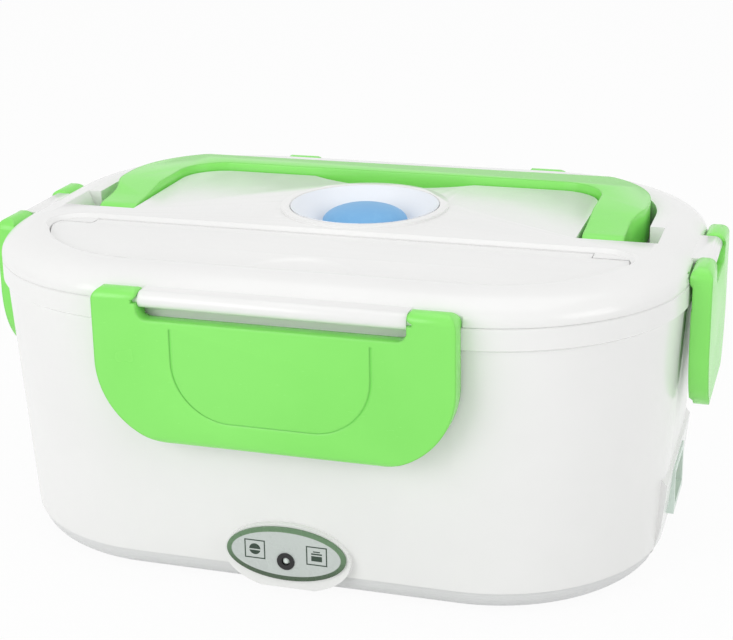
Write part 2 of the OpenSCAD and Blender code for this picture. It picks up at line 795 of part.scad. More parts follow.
module indicator_boss(g, low) {
    inner = half_w + wall_u(cover_seam) - body_wall + 0.6 - g;
    translate([0, 0, plate_z - 1.6]) rotate([90, 0, 0]) translate([0, 0, inner])
        linear_extrude(-plate_face + g - inner) intersection() {
            oval(plate_half_length + 1 + g, plate_half_height + 2.4 + g);
            translate([-60, low - plate_z + 1.6]) square([120, 60]);
        }
}

module catch_rib(half) {
    rotate([90, 0, 90]) linear_extrude(2 * half, center = true) polygon([
        [1.5, catch_z], [-catch_reach, catch_z], [-catch_reach, catch_z + catch_height - 1.2],
        [0.2, catch_z + catch_height], [1.5, catch_z + catch_height]]);
}

module outer_body() {
    low_in = wall_u(cover_seam) - body_wall;
    color("white") {
        difference() {
            union() {
                around([[wall_u(cover_seam), cover_seam], [wall_u(collar_z), collar_z - 0.8],
                    [0, collar_z], [0, rim_height - 0.4], [-0.4, rim_height],
                    [-3, rim_height], [-3, collar_z + 2.6],
                    [tub_lip_u, collar_z + 2.6], [tub_lip_u, collar_z],
                    [wall_u(collar_z) - body_wall, collar_z - 3],
                    [low_in, cover_seam]]);
                inlet_boss(0, boss_inner, cover_under + 0.2);
                indicator_boss(0, 3.4);
                on_long_sides() catch_rib(long_latch_half - ear_width - 4);
                on_short_sides() catch_rib(short_latch_half - ear_width - 4);
            }
            inlet_boss(-body_wall, boss_inner - 1, cover_under + 0.2 + body_wall);
            // room for the tub, which comes down past the boss
            filled([[tub_low_u + gap, floor_under - gap], [tub_low_u + 2 * gap, boss_top + 3]],
                floor_under - gap, boss_top + 3);
            // window of the socket
            translate([boss_face - 12, -socket_width / 2 - seat, socket_z - socket_height / 2 - seat])
                cube([30, socket_width + 2 * seat, socket_height + 2 * seat]);
            // holes behind the indicator plate
            translate([0, plate_face + 8, led_z]) rotate([90, 0, 0])
                cylinder(r = 2.5, h = 30, $fn = 48);
        }
    }
}

module bottom_cover() {
    edge = wall_u(cover_seam) - 0.8;
    thick = 2.2;
    outer = arc(edge - 7, cover_seam - gap / 2, 7, cover_seam - gap / 2 - cover_under, -90, 0, 8);
    lip_u = wall_u(cover_seam) - body_wall - 0.3;
    color("gainsboro") difference() {
        union() {
            around(concat([[axis_u, cover_under]], outer, [[lip_u, cover_seam - gap / 2],
                [lip_u, cover_seam + 2.4], [lip_u - 1.6, cover_seam + 2.4],
                [lip_u - 2, cover_floor_top + 3], [lip_u - 5, cover_floor_top],
                [axis_u, cover_floor_top]]));
            core(cover_under, cover_floor_top);
            at_four(post_x, post_y) translate([0, 0, cover_floor_top - eps])
                cylinder(r = post_radius, h = 2.3, $fn = 48);
        }
        translate([boss_inner - gap, -boss_half - gap, -5])
            cube([40, 2 * (boss_half + gap), 30]);
        indicator_boss(gap, -5);
        // room for the lamp
        translate([-6, -half_w, led_z - 3.2]) cube([12, 20, 10]);
        at_four(post_x, post_y) {
            translate([0, 0, -1]) cylinder(r = screw_radius + 0.3, h = 20, $fn = 32);
            translate([0, 0, -1]) cylinder(r = 2 * screw_radius + 0.4, h = 3.2, $fn = 48);
        }
        at_four(foot_x, foot_y) translate([0, 0, -1])
            cylinder(r = foot_radius + 0.1, h = cover_under + 2, $fn = 64);
        // slots that let the warm air out
        for (i = [-3 : 3]) translate([i * 9 - 1.2, -14, -1]) cube([2.4, 28, 12]);
    }
}

module rubber_feet() {
    color("dimgray") at_four(foot_x, foot_y) rotate_extrude()
        polygon([[0, 0], [foot_radius - 1.2, 0], [foot_radius - 0.4, 0.5],
            [foot_radius, cover_under], [foot_radius, cover_under + 0.95], [0, cover_under + 0.95]]);
}

module cover_screws() {
    color("silver") at_four(post_x, post_y) translate([0, 0, 0.4]) screw(14);
}

module inner_tub() {
    thick = tub_wall;
    low_u = tub_low_u;
    fillet = 6;
    hole_x = heater_half_length - 4.5;
    hole_y = heater_half_width - 4.5;
    color("white") difference() {
        union() {
            around(concat(
                [[axis_u, floor_under], [low_u - fillet, floor_under]],
                arc(low_u - fillet, floor_under + fillet, fillet, fillet, -90, 0, 6),
                [[tub_lip_u - 0.4, flange_under], [-3 - seam_gap, flange_under],
                [-3 - seam_gap, flange_top], [tub_lip_u, flange_top], [tub_lip_u, lip_top - 0.5],
                [tub_lip_u - 0.5, lip_top], [tub_lip_u - thick, lip_top],
                [tub_lip_u - thick, flange_under]],
                arc(low_u - fillet - thick + 1, floor_under + fillet + thick - 1,
                    fillet - 1, fillet - 1, 0, -90, 6),
                [[axis_u, tub_floor_top]]));
            core(floor_under, tub_floor_top);
            at_four(post_x, post_y) translate([0, 0, cover_floor_top + 2.6])
                cylinder(r = post_radius, h = floor_under - cover_floor_top - 2.5, $fn = 48);
            for (s = [-1, 1]) translate([s * clamp_x, 0, floor_under - 6])
                cylinder(r = 3.2, h = 6 + eps, $fn = 48);
        }
        translate([0, 0, floor_under - 1]) rounded(hole_x, hole_y, 12, 10);
        at_four(post_x, post_y) translate([0, 0, -1])
            cylinder(r = screw_radius + seat, h = floor_under - 1, $fn = 32);
        for (s = [-1, 1]) translate([s * clamp_x, 0, floor_under - 7])
            cylinder(r = screw_radius + seat, h = 6, $fn = 32);
    }
}

// ---- the heater ----

module heater_plate() {
    under = floor_under - 2.1;
    color("silver") {
        translate([0, 0, under]) rounded(heater_half_length, heater_half_width, 14, 1.5);
        translate([0, 0, under + 1.4]) rounded(heater_half_length - 5, heater_half_width - 5,
            11.5, floor_under - under - 1.4 + tub_wall + 0.2);
    }
}

module heater_seal() {
    low = floor_under - 0.6;
    color("lightgray") difference() {
        translate([0, 0, low]) rounded(heater_half_length, heater_half_width, 14, 0.55);
        translate([0, 0, low - 1]) rounded(heater_half_length - 4.4, heater_half_width - 4.4, 12, 3);
    }
}

module ptc_heater() {
    top = floor_under - 2.15;
    color("tan") translate([0, 0, top - 5]) {
        rounded(30, 9, 2, 5);
        // the two contact tabs
        for (s = [-1, 1]) translate([s * 32 - 4, -3, 1.6]) cube([8, 6, 0.8]);
    }
}

module heater_clamp() {
    mid = floor_under - 2.15 - 5 - 0.05;
    end = floor_under - 6.1;
    reach = clamp_x + 5;
    color("lightslategray") difference() {
        rotate([90, 0, 0]) linear_extrude(8, center = true) polygon([
            [-reach, end - 1], [-38.4, end - 1], [-31.4, mid - 1], [31.4, mid - 1],
            [38.4, end - 1], [reach, end - 1], [reach, end], [38, end], [31, mid],
            [-31, mid], [-38, end], [-reach, end]]);
        for (s = [-1, 1]) translate([s * clamp_x, 0, mid - 5])
            cylinder(r = screw_radius + 0.2, h = 20, $fn = 32);
    }
}

module clamp_screws() {
    color("silver") for (s = [-1, 1])
        translate([s * clamp_x, 0, floor_under - 8.95]) screw(7.5);
}

module thermal_fuse() {
    top = floor_under - 2.2;
    color("wheat") translate([0, 18, top - 2.2]) rotate([0, 90, 0]) {
        cylinder(r = 2.1, h = 13, center = true, $fn = 48);
        cylinder(r = 0.5, h = 25, center = true, $fn = 24);
    }
}

// ---- the inlet, the lamp and the wires ----

module power_inlet() {
    low = socket_z - socket_height / 2;
    color("honeydew") difference() {
        union() {
            translate([socket_back, -socket_width / 2, low])
                cube([boss_face + 0.3 - socket_back, socket_width, socket_height]);
            // the flange follows the boss's inner face
            intersection() {
                inlet_boss(-body_wall - seat, boss_inner, low - 1);
                translate([boss_face - 8, -socket_width / 2 - 8, low - 1])
                    cube([8, socket_width + 16, socket_height + 2]);
            }
        }
        // the cavity the connector enters
        translate([socket_back + 2.6, 2.2 - socket_width / 2, low + 2.2])
            cube([40, socket_width - 4.4, socket_height - 4.4]);
        for (y = [-6, 6]) translate([socket_back - 1, y, socket_z]) rotate([0, 90, 0])
            cylinder(r = 1.5 + eps, h = 10, $fn = 32);
    }
}

module inlet_pins() {
    color("gold") for (y = [-6, 6]) translate([socket_back - 4, y, socket_z])
        rotate([0, 90, 0]) {
            cylinder(r = 1.5, h = socket_depth + 1, $fn = 32);
            translate([0, 0, socket_depth + 1 - eps])
                cylinder(r1 = 1.5, r2 = 0.9, h = 1, $fn = 32);
        }
}

module indicator_plate() {
    color("darkseagreen") difference() {
        translate([0, plate_face - 0.05, plate_z]) rotate([90, 0, 0]) linear_extrude(plate_thick)
            oval(plate_half_length, plate_half_height);
        translate([0, plate_face + 2, led_z]) rotate([90, 0, 0])
            cylinder(r = 2.45, h = 8, $fn = 48);
    }
}

module led_ring() {
    color("black") translate([0, plate_face - plate_thick - 0.35, led_z]) rotate([-90, 0, 0])
        difference() {
            union() {
                cylinder(r = 2.8, h = 0.25, $fn = 48);
                cylinder(r = 2.35, h = 6, $fn = 48);
                translate([0, 0, 6 - eps]) cylinder(r = 1.9, h = 2, $fn = 48);
            }
            translate([0, 0, -1]) cylinder(r = 1.3, h = 12, $fn = 48);
        }
}

module led_lamp() {
    color("mintcream") translate([0, plate_face - plate_thick + 0.9, led_z]) rotate([-90, 0, 0]) {
        translate([0, 0, 0]) rotate_extrude() polygon(concat([[0, 0]],
            arc(0, 1.25, 1.25, 1.25, -90, 0, 6), [[1.25, 7.6], [0, 7.6]]));
        translate([0, 0, 7.5]) cylinder(r = 1.8, h = 1.2, $fn = 48);
    }
}

module led_board() {
    color("darkgreen") translate([0, plate_face - plate_thick + 9.7, led_z])
        translate([-7, 0, -3.4]) cube([14, 1.6, 9]);
}

// a wire along straight runs, with a slightly fuller ball at each corner
module wire(points) {
    for (i = [0 : len(points) - 2]) {
        d = points[i + 1] - points[i];
        length = norm(d);
        translate(points[i]) rotate([0, acos(d[2] / length), atan2(d[1], d[0])])
            cylinder(r = wire_radius, h = length, $fn = 8);
        if (i > 0) translate(points[i]) rotate([0, acos(d[2] / length), atan2(d[1], d[0])])
            sphere(wire_radius * 1.2, $fn = 8);
    }
}

module lead_wires() {
    pin_back = socket_back - 4.1;
    tab_z = floor_under - 2.15 - 2.6 + 1.1;
    fuse_z = floor_under - 4.4;
    led_back = plate_face - plate_thick + 11.6;
    low = cover_floor_top + 8;
    color("firebrick") {
        wire([[pin_back, -6, socket_z], [pin_back - 2.5, -6, socket_z],
            [pin_back - 8, -14, low], [52, -16, low],
            [40, -8, tab_z], [35.3, 0.8, tab_z]]);
        wire([[pin_back, 6, socket_z], [pin_back - 2.5, 6, socket_z],
            [pin_back - 8, 14, low], [30, 25, low], [14, 18, fuse_z]]);
        wire([[-14, 18, fuse_z], [-30, 14, low], [-40, 8, tab_z], [-35.3, -0.8, tab_z]]);
        wire([[3, led_back, led_z], [3, led_back + 7, low], [30, -26, low],
            [33, -8, tab_z], [31.6, -1.8, tab_z]]);
        wire([[-3, led_back, led_z], [-3, led_back + 7, low], [-30, -26, low],
            [-33, -8, tab_z], [-31.6, -1.8, tab_z]]);
    }
}

// ---- what holds the food ----

module food_container() {
    top = container_rim_z;
    fillet = 8;
    w = container_wall;
    outer = concat([[container_low_u - fillet, container_floor]],
        arc(container_low_u - fillet, container_floor + fillet, fillet, fillet, -90, 0, 8),
        [[container_top_u, top - 5], [container_top_u, top - 1.6],
        [container_top_u + container_flange, top - 1.6], [container_top_u + container_flange, top]]);
    inner = concat([[container_low_u - fillet, container_floor + w]],
        arc(container_low_u - fillet, container_floor + fillet, fillet - w, fillet - w, -90, 0, 8),
        [[container_top_u - w, top - 5], [container_top_u - w, top + 1]]);
    color("white") {
        difference() {
            filled(outer, container_floor, top);
            filled(inner, container_floor + w, top + 1);
        }
        // the low wall that keeps the side dish in its place
        intersection() {
            filled(outer, container_floor, top);
            translate([dish_x - 4.4, -half_w, container_floor]) cube([1.8, lid_width, 22]);
        }
    }
}

module side_dish() {
    top = container_rim_z - 0.4;
    low = container_floor + container_wall + 0.1;
    w = container_wall;
    fillet = 7.4;
    low_u = container_low_u - w - 0.5;
    top_u = container_top_u - w - 0.5;
    outer = concat([[low_u - fillet, low]],
        arc(low_u - fillet, low + fillet, fillet, fillet, -90, 0, 6), [[top_u, top]]);
    inner = concat([[low_u - fillet, low + w]],
        arc(low_u - fillet, low + fillet, fillet - w, fillet - w, -90, 0, 6), [[top_u - w, top + 1]]);
    color("white") difference() {
        union() {
            intersection() {
                filled(outer, low, top);
                translate([dish_x, -half_w, low - 1]) cube([half_l, lid_width, 100]);
            }
            // lifting tab
            intersection() {
                filled(outer, low, top);
                translate([dish_x - 9, 0, top - 1.6]) rounded(10, 16, 6, 1.6);
            }
        }
        intersection() {
            filled(inner, low + w, top + 1);
            translate([dish_x + w, -half_w, low]) cube([half_l, lid_width, 100]);
        }
    }
}

outer_body();
bottom_cover();
rubber_feet();
cover_screws();
inner_tub();
heater_seal();
heater_plate();
ptc_heater();
heater_clamp();
clamp_screws();
thermal_fuse();
power_inlet();
inlet_pins();
lead_wires();
indicator_plate();
led_ring();
led_lamp();
led_board();
lid();
lid_liner();
lid_gasket();
vent_bowl();
vent_plug();
spoon_cover();
spoon();
carry_handle();
handle_pins();
latch_front();
latch_back();
latch_left();
latch_right();
food_container();
side_dish();
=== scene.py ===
# %% [markdown]
# # An electric lunch box, dressed for its portrait
#
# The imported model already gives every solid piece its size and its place. This lesson
# puts light, a camera and real-looking plastics, silicone and metal on those pieces.
# Moulded plastic never has knife edges, so most pieces are copied into new meshes whose
# edges are rounded. The outer body, its bottom cover and the small or hidden parts keep
# their solids and only get a finish.

# %% Load the frame
import json
import math

import bmesh
import bpy
from mathutils import Matrix, Vector


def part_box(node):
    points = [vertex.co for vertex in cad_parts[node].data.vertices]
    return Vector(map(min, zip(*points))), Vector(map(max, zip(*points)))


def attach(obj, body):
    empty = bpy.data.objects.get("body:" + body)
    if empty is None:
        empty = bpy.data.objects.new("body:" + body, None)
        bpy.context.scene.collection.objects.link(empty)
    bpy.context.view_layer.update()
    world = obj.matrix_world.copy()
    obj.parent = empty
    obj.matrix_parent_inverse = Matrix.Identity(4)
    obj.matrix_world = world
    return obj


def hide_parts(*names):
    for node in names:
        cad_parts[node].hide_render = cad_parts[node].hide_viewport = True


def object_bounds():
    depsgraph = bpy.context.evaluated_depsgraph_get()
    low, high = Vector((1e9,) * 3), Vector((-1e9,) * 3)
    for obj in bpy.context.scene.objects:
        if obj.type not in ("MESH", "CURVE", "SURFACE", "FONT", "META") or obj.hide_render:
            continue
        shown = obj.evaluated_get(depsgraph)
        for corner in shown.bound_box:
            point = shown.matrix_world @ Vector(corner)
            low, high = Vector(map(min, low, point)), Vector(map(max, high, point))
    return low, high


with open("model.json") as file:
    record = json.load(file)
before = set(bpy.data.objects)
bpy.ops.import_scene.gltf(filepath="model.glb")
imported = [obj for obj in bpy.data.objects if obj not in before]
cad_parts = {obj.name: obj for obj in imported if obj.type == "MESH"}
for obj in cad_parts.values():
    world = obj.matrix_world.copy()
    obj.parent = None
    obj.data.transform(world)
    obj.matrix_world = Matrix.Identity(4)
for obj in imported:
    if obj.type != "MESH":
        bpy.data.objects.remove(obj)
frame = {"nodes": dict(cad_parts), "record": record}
cad_low, cad_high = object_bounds()
nodes = frame["nodes"]
body_of = {n: body for body, held in frame["record"]["behaviour"]["bodies"].items()
           for n in held}
slot_of = {part["node"]: part["material_slot"] for part in frame["record"]["subparts"]}
print(len(nodes), "nodes on", len(set(body_of.values())), "bodies, box",
      [round(v * 1000, 1) for v in cad_high - cad_low], "mm")

# %% [markdown]
# ## The camera
#
# The photograph was taken from half a metre away, a little to the right and from above.
# The numbers below come from fitting a camera to edges of the box that show in it, so
# the view keeps the same strong perspective. The small shift keeps the same framing.

# %% Place the camera
PHOTO_W, PHOTO_H = 733, 640
FOCAL_PIXELS = 1664.8
CENTRE_X, CENTRE_Y = 360.96, 277.13
SENSOR = 36
TARGET = Vector((0.001, 0, 0.0784))


def look_from(azimuth, elevation, distance, target, roll):
    """A camera matrix: azimuth 0 looks along +Y, roll turns the picture."""
    a, e, r = map(math.radians, (azimuth, elevation, roll))
    back = Vector((math.sin(a) * math.cos(e), -math.cos(a) * math.cos(e), math.sin(e)))
    right = Vector((math.cos(a), math.sin(a), 0))
    up = back.cross(right)
    side = right * math.cos(r) + up * math.sin(r)
    top = up * math.cos(r) - right * math.sin(r)
    turned = Matrix((side, top, back)).transposed().to_4x4()
    return Matrix.Translation(target + back * distance) @ turned


lens_data = bpy.data.cameras.new("portrait_lens")
camera = bpy.data.objects.new("portrait_camera", lens_data)
bpy.context.scene.collection.objects.link(camera)
camera.matrix_world = look_from(17.24, 17.59, 0.5504, TARGET, -0.95)
lens_data.sensor_width = SENSOR
lens_data.lens = FOCAL_PIXELS * SENSOR / PHOTO_W
lens_data.shift_x = (PHOTO_W / 2 - CENTRE_X) / PHOTO_W
lens_data.shift_y = (CENTRE_Y - PHOTO_H / 2) / PHOTO_W
lens_data.clip_start, lens_data.clip_end = 0.01, 50
bpy.context.scene.camera = camera
bpy.context.scene.view_settings.view_transform = "Standard"
print("lens", round(lens_data.lens, 1), "mm, camera at",
      [round(v, 3) for v in camera.location])

# %% [markdown]
# ## Writing materials as sums
#
# A material is a small program. Wiring it node by node hides what it computes, so a
# socket is wrapped in a class that understands +, -, * and /. An expression on two
# sockets then adds its own Math node. Every other node comes from one method that takes
# the node's type, its settings and the values of its sockets.

# %% A socket that can be added and multiplied
class Wire:
    """One output socket, on which ordinary arithmetic works."""

    def __init__(self, finish, socket):
        self.finish, self.socket = finish, socket

    def maths(self, operation, *others):
        return self.finish.node("ShaderNodeMath", {"operation": operation},
                                *((self,) + others))

    def __add__(self, other): return self.maths("ADD", other)
    def __mul__(self, other): return self.maths("MULTIPLY", other)
    def __sub__(self, other): return self.maths("SUBTRACT", other)
    def __truediv__(self, other): return self.maths("DIVIDE", other)
    def __rsub__(self, other): return self.finish.number("SUBTRACT", other, self)
    def __rtruediv__(self, other): return self.finish.number("DIVIDE", other, self)
    __radd__, __rmul__ = __add__, __mul__

    def between(self, low, high):
        """0 below low, 1 above high, smooth in between."""
        return self.finish.node("ShaderNodeMapRange", {"interpolation_type": "SMOOTHSTEP"},
                                self, low, high, 0.0, 1.0)


class Finish:
    """A material, or a world, whose nodes are written as expressions."""

    def __init__(self, name, kept_in=bpy.data.materials, shader="Principled BSDF"):
        self.material = kept_in.new(name)
        self.material.use_nodes = True
        self.tree = self.material.node_tree
        self.shader = self.tree.nodes[shader]

    def node(self, kind, settings=None, *values, out=0, **named):
        made = self.tree.nodes.new(kind)
        for key, value in (settings or {}).items():
            setattr(made, key, value)
        for key, value in list(enumerate(values)) + list(named.items()):
            self.feed(made.inputs[key], value)
        return Wire(self, made.outputs[out])

    def feed(self, socket, value):
        if isinstance(value, Wire):
            self.tree.links.new(value.socket, socket)
        elif value is not None:
            socket.default_value = value

    def number(self, operation, *values):
        return self.node("ShaderNodeMath", {"operation": operation}, *values)

    def mix(self, amount, first, second):
        """A colour between first and second."""
        made = self.tree.nodes.new("ShaderNodeMix")
        made.data_type = "RGBA"
        for socket, value in zip((made.inputs[0], made.inputs[6], made.inputs[7]),
                                 (amount, first, second)):
            self.feed(socket, value)
        return Wire(self, made.outputs[2])

    def place(self):
        """Where on the object a point is, in metres."""
        return self.node("ShaderNodeTexCoord", out="Object")

    def noise(self, scale, detail=2.0, roughness=0.5, at=None):
        return self.node("ShaderNodeTexNoise", None, at or self.place(), Scale=scale,
                         Detail=detail, Roughness=roughness, out="Fac")

    def bump(self, height, distance, strength=1.0, soften=0.0):
        """A height as a normal; soften also rounds the light on edges, in metres."""
        base = (self.node("ShaderNodeBevel", {"samples": 6}, soften, out="Normal")
                if soften else None)
        return self.node("ShaderNodeBump", None, Strength=strength, Distance=distance,
                         Height=height, Normal=base, out="Normal")

    def seen(self):
        """1 where the camera looks, directly, in a gloss or through something clear."""
        camera_ray = self.node("ShaderNodeLightPath", out="Is Camera Ray")
        rays = camera_ray.socket.node.outputs
        glossy, clear = (Wire(self, rays[kind])
                         for kind in ("Is Glossy Ray", "Is Transmission Ray"))
        return self.number("MINIMUM", camera_ray + glossy + clear, 1.0)

    def paint(self, **sockets):
        """Feeds the shader's own sockets, named as words joined by _."""
        for key, value in sockets.items():
            self.feed(self.shader.inputs[key.replace("_", " ")], value)
        return self.material


def colour(r, g, b):
    """A screen colour, 0 to 255, as the linear numbers that light works with."""
    def linear(v):
        v /= 255
        return v / 12.92 if v <= 0.04045 else ((v + 0.055) / 1.055) ** 2.4
    return (linear(r), linear(g), linear(b), 1.0)


print("expressions ready")

# %% [markdown]
# ## Moulded plastic
#
# Nearly everything here is injection-moulded polypropylene. Close up it isn't flat: the
# polished steel mould leaves a faint ripple, the melt cools into slightly milky and
# slightly clearer patches, and handling leaves fine hairline scratches that only show
# where they break the gloss. One function writes all of that and each plastic passes
# its own colour and amounts, so the whole family agrees.

# %% A function for every moulded plastic
def moulded(name, base, shade, roughness, ripple=0.6, scratches=0.35, soften=0.0):
    """base and shade are the patchy colours; ripple is the height of the mould's waves."""
    f = Finish(name)
    patches = f.noise(28, 3.0).between(0.32, 0.7)
    flow = f.noise(9, 1.0).between(0.3, 0.75)
    tone = f.mix(patches * 0.5 + flow * 0.5, base, shade)
    stretch = f.node("ShaderNodeMapping", None, f.place(), Rotation=(0.3, 0.2, 0.7),
                     Scale=(1.0, 14.0, 6.0), out="Vector")
    hairlines = f.noise(240, 4.0, 0.7, stretch).between(0.64, 0.74)
    smears = f.noise(55, 2.0).between(0.45, 0.8)
    gloss = hairlines * (scratches * 0.25) + smears * 0.06 + roughness
    waves = f.noise(160, 1.0) * ripple + f.noise(1500, 2.0) * 0.12 + hairlines * -0.05
    return f.paint(Base_Color=tone, Roughness=gloss, IOR=1.49,
                   Normal=f.bump(waves, 0.00004, 0.6, soften))


white = moulded("white_gloss", colour(243, 243, 242), colour(239, 239, 238), 0.2)
cover_grey = moulded("bottom_satin", colour(226, 227, 227), colour(220, 221, 221), 0.38)
inner_white = moulded("inner_satin", colour(236, 237, 235), colour(229, 231, 229), 0.36)
green = moulded("apple_green", colour(142, 238, 109), colour(134, 232, 101), 0.22,
                soften=0.001)
mint = moulded("mint_inlet", colour(226, 240, 231), colour(220, 236, 226), 0.3)
bowl_blue = moulded("frosted_bowl", colour(240, 243, 248), colour(235, 240, 247), 0.3)
black = moulded("black_ring", colour(18, 18, 19), colour(26, 26, 28), 0.35)
print(len(bpy.data.materials), "materials so far")

# %% [markdown]
# ## Silicone and rubber
#
# The steam plug, the seals and the feet are soft. Silicone has a waxy skin: a broad soft
# shine, a fine dusty bloom and no hard highlight. It differs from plastic mainly in its
# roughness and in that bloom, which a fine noise lightens here and there.

# %% Soft pieces
def soft(name, base, bloom, roughness):
    f = Finish(name)
    dust = f.noise(420, 3.0).between(0.45, 0.75) * 0.5
    grain = f.noise(1900, 2.0)
    return f.paint(Base_Color=f.mix(dust, base, bloom), Roughness=dust * 0.15 + roughness,
                   Normal=f.bump(grain, 0.00003, 0.5), IOR=1.41)


blue_silicone = soft("blue_silicone", colour(116, 177, 226), colour(130, 188, 231), 0.42)
seal_grey = soft("seal_silicone", colour(214, 217, 217), colour(226, 228, 228), 0.5)
foot_rubber = soft("foot_rubber", colour(46, 46, 47), colour(70, 70, 70), 0.7)
film = soft("heater_film", colour(206, 164, 92), colour(221, 185, 118), 0.35)
wire_red = soft("wire_sheath", colour(176, 34, 28), colour(190, 60, 50), 0.45)
board = soft("lamp_board", colour(22, 92, 48), colour(32, 112, 60), 0.4)
print(len(bpy.data.materials), "materials so far")

# %% [markdown]
# ## Metal
#
# The heating plate is pressed aluminium with a brushed face. Brushing is noise that is
# stretched a hundred times along one direction: it turns the highlight into a streak.

# %% Brushed and plated metal
def brushed(name, base, roughness, along=(1.0, 110.0, 110.0)):
    f = Finish(name)
    lines = f.node("ShaderNodeMapping", None, f.place(), Scale=along, out="Vector")
    streaks = f.noise(34, 4.0, 0.65, lines)
    dark = tuple(v * 0.8 for v in base[:3]) + (1.0,)
    return f.paint(Base_Color=f.mix(streaks * 0.6, base, dark), Metallic=1.0,
                   Roughness=streaks * 0.2 + roughness,
                   Normal=f.bump(streaks, 0.00003, 0.5))


aluminium = brushed("brushed_aluminium", colour(214, 216, 218), 0.26)
steel = brushed("steel", colour(190, 190, 188), 0.3)
zinc = brushed("zinc_plating", colour(196, 197, 190), 0.34, (40.0, 40.0, 40.0))
brass = brushed("brass_pins", colour(220, 184, 110), 0.22)
print("metals ready")

# %% [markdown]
# ## The indicator plate and its lamp
#
# The oval plate is printed: a pale grey field inside a dark border, with a plain sign for
# a bowl and one for a pot. Each shape is worked out from the distance to its edge, so no
# picture is needed. The lamp is a milky dome, off.

# %% Printed plate
plate_low, plate_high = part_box("indicator_plate")
plate_mid = (plate_low + plate_high) / 2
plate_half = (plate_high - plate_low) / 2

BORDER, INK_EDGE, STROKE = 0.0015, 0.00005, 0.0002
SIGN_OUT, SIGN_UP = 0.0098, 0.0006
FRAME_HALF = (0.0031, 0.0029)
BOWL_RADIUS, POT_HALF, POT_LID_HALF = 0.0018, (0.0017, 0.0013), (0.0011, 0.0002)


def printed_plate():
    """Grey field, a dark border with painted shade that darkens it downwards, and two
    plain pictograms.
    """
    f = Finish("printed_plate")
    axes = f.node("ShaderNodeSeparateXYZ", None, f.place(), out="X")
    x = axes - plate_mid.x
    z = Wire(f, axes.socket.node.outputs["Z"]) - plate_mid.z

    def ink(distance):
        """1 inside a shape whose signed distance, in metres, is given."""
        return 1 - distance.between(-INK_EDGE, INK_EDGE)

    def larger(first, second): return f.number("MAXIMUM", first, second)
    def size_of(value): return f.number("ABSOLUTE", value)
    def length(a, b): return f.number("SQRT", a * a + b * b)

    def box(u, v, half_u, half_v):
        return larger(size_of(u) - half_u, size_of(v) - half_v)

    def clear_of(v):
        """Keeps a shape off the stroke where v is 0, as a gap through a sign."""
        return (size_of(v) - STROKE) * -1

    inside = length(x / (plate_half.x - BORDER), z / (plate_half.z - BORDER))
    rim = inside.between(0.985, 1.005)
    left, right, up = x + SIGN_OUT, x - SIGN_OUT, z - SIGN_UP
    frames = larger(*(ink(size_of(box(side, up, *FRAME_HALF)) - STROKE)
                      for side in (left, right)))
    bowl = larger(length(left, up) - BOWL_RADIUS, clear_of(up + STROKE))
    pot = larger(box(right, up + 2 * STROKE, *POT_HALF), clear_of(up - STROKE))
    lid_line = box(right, up - 7 * STROKE, *POT_LID_HALF)
    printed = larger(frames, larger(ink(bowl), larger(ink(pot), ink(lid_line))))
    field = f.mix(f.noise(60, 2.0) * 0.5, colour(196, 203, 200), colour(205, 210, 207))
    # Painted shade: the border's own dark ink is drawn darker towards the bottom and
    # lighter at the top, as if lit from above.
    border_ink_and_painted_shade = f.mix((z / plate_half.z).between(-0.8, 0.3), colour(72, 92, 70),
                      colour(102, 134, 100))
    tone = f.mix(rim, f.mix(printed, field, colour(40, 62, 48)), border_ink_and_painted_shade)
    return f.paint(Base_Color=tone, Roughness=f.noise(300, 2.0) * 0.12 + 0.22,
                   Normal=f.bump(printed * 0.5 + rim, 0.00005, 0.4))


plate_print = printed_plate()
lamp = soft("clear_lamp", colour(222, 232, 226), colour(238, 244, 240), 0.12)
print("plate", [round(v * 2000, 1) for v in plate_half], "mm")

# %% [markdown]
# ## Rounded copies of the moulded pieces
#
# A solid from CAD has sharp edges, and a sharp edge catches no light. The copy below
# welds the surface, joins the triangles of each flat face, and a bevel then rounds what
# meets at an angle. Building each piece again from nothing would give the same form with
# more ways to miss its neighbours, so the copy was chosen.
#
# Three copies also differ from their solids: the side latches' lower ends are longer and
# the lamp's dome stands further forward.

# %% Copy a node with rounded edges
FINISHES = {
    "white_plastic": white, "cover_plastic": cover_grey, "green_plastic": green,
    "inner_plastic": inner_white, "mint_plastic": mint, "plate_green": plate_print,
    "blue_silicone": blue_silicone, "bowl_plastic": bowl_blue, "seal_silicone": seal_grey,
    "foot_rubber": foot_rubber, "black_plastic": black, "aluminium": aluminium,
    "steel": steel, "zinc_steel": zinc, "brass_pins": brass, "heater_film": film,
    "wire_skin": wire_red, "board_green": board, "lamp_clear": lamp,
}


SKIRT_TOP, SKIRT_BOTTOM, SKIRT_DROP = 0.072, 0.056, 0.0052
LAMP_TIP, LAMP_REACH = 0.0013, 0.0011
WELD = 3e-6
FLAT, SHARP = math.radians(0.1), math.radians(32)
BEVEL_STEPS = 3


def longer_skirt(bm):
    """Draws a side latch's lower end straight down, as long as the photograph's."""
    for vert in bm.verts:
        share = (SKIRT_TOP - vert.co.z) / (SKIRT_TOP - SKIRT_BOTTOM)
        vert.co.z -= SKIRT_DROP * min(1.0, max(0.0, share))


def dome_forward(bm):
    """Brings the lamp's dome level with its ring, where it shows."""
    tip = min(vert.co.y for vert in bm.verts)
    for vert in bm.verts:
        if vert.co.y < tip + LAMP_TIP:
            vert.co.y -= LAMP_REACH


RESHAPED = {"latch_left": longer_skirt, "latch_right": longer_skirt,
            "led_lamp": dome_forward}


